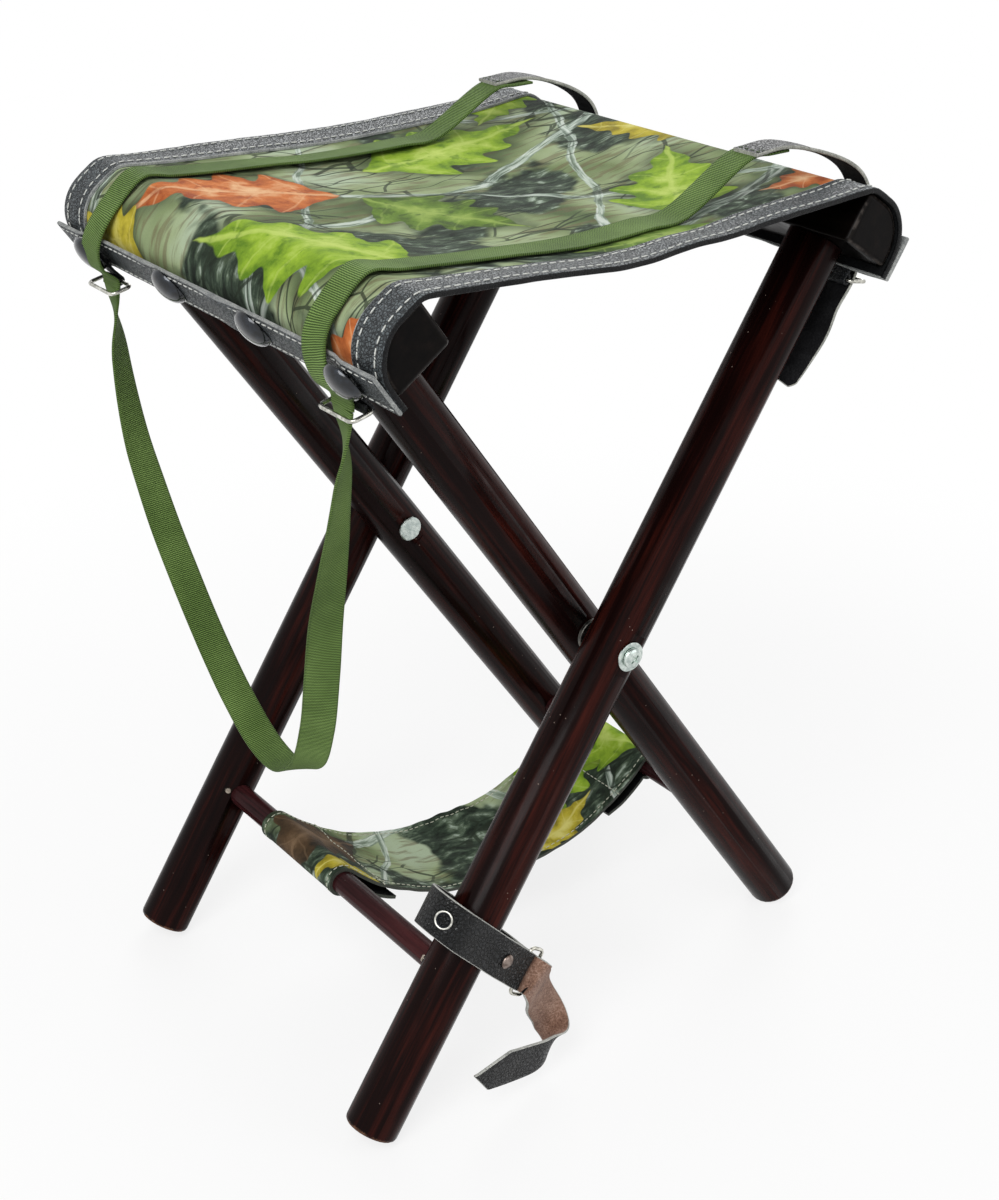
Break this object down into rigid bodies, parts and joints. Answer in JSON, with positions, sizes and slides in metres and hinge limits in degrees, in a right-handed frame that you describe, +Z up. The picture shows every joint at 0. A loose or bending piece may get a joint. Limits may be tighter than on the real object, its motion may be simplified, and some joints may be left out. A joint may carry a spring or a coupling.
{
  "type": "folding stool",
  "caption": "Folding hunting stool: crossed wooden leg frames, a sagging cloth seat nailed over two rails, a lower sling, a carrying strap and a closing strap.",
  "frame": {"origin": "on the floor, half way between the feet", "axes": "+Z up, +X the way the legs spread, with the outer frame's feet at -X and its rail at +X; Y along the pivot, with the closing strap on the near side at -Y"},
  "size_m": [0.4084, 0.3546, 0.5739],
  "materials": {
    "dark_wood": "dark glossy lacquer",
    "black_wood": "black satin lacquer",
    "black_leather": "grained",
    "grey_leather": "matt, stitched",
    "camo_cloth": "woven, printed in a woodland pattern",
    "green_webbing": "ribbed weave",
    "zinc": "bright zinc",
    "black_nail": "black gloss"
  },
  "bodies": {
    "outer_frame": {"outer_leg_near": "dark_wood", "outer_leg_far": "dark_wood", "outer_rung_pin_near": "zinc", "outer_rung_pin_far": "zinc", "outer_tab_near": "black_leather", "outer_tab_far": "black_leather", "outer_rail": "black_wood", "outer_rung": "dark_wood", "outer_seat_strip": "grey_leather", "outer_seat_nail_1": "black_nail", "outer_seat_nail_2": "black_nail", "outer_seat_nail_3": "black_nail", "outer_seat_nail_4": "black_nail", "pivot_screw_near": "zinc", "pivot_screw_far": "zinc", "pivot_nut_near": "zinc", "pivot_nut_far": "zinc", "pivot_washer_near": "zinc", "pivot_washer_far": "zinc", "pivot_spacer_near": "zinc", "pivot_spacer_far": "zinc", "seat_binding_near": "grey_leather", "seat_binding_far": "grey_leather", "carry_strap_near": "black_leather", "carry_strap_far": "black_leather", "carry_buckle_near": "zinc", "carry_buckle_far": "zinc", "webbing_run_near": "green_webbing", "webbing_run_far": "green_webbing", "seat_cloth": "camo_cloth", "lower_sling": "camo_cloth"},
    "inner_frame": {"inner_leg_near": "dark_wood", "inner_leg_far": "dark_wood", "inner_rung_pin_near": "zinc", "inner_rung_pin_far": "zinc", "inner_tab_near": "black_leather", "inner_tab_far": "black_leather", "inner_rail": "black_wood", "inner_rung": "dark_wood", "inner_seat_strip": "grey_leather", "inner_seat_nail_1": "black_nail", "inner_seat_nail_2": "black_nail", "inner_seat_nail_3": "black_nail", "inner_seat_nail_4": "black_nail"},
    "carry_loop": {"loop_ring_near": "zinc", "loop_ring_far": "zinc", "webbing_loop": "green_webbing"},
    "closing_strap_body": {"closing_strap": "black_leather", "closing_buckle": "zinc", "closing_rivet": "zinc", "closing_eyelet": "zinc"}
  },
  "joints": [
    {"name": "fold", "type": "hinge", "parent": "outer_frame", "child": "inner_frame", "pos_m": [0, 0, 0.2876], "axis": [0, 1, 0], "range_deg": [0, 59], "deforming": ["seat_cloth", "seat_binding_near", "seat_binding_far", "webbing_run_near", "webbing_run_far", "lower_sling"]},
    {"name": "loop_swing", "type": "hinge", "parent": "inner_frame", "child": "carry_loop", "pos_m": [-0.17347, 0, 0.48697], "axis": [0, 1, 0], "range_deg": [-20, 25]},
    {"name": "closing_strap_slide", "type": "slide", "parent": "outer_frame", "child": "closing_strap_body", "axis": [0.565, 0, 0.8251], "range_m": [0, 0.02]}
  ]
}
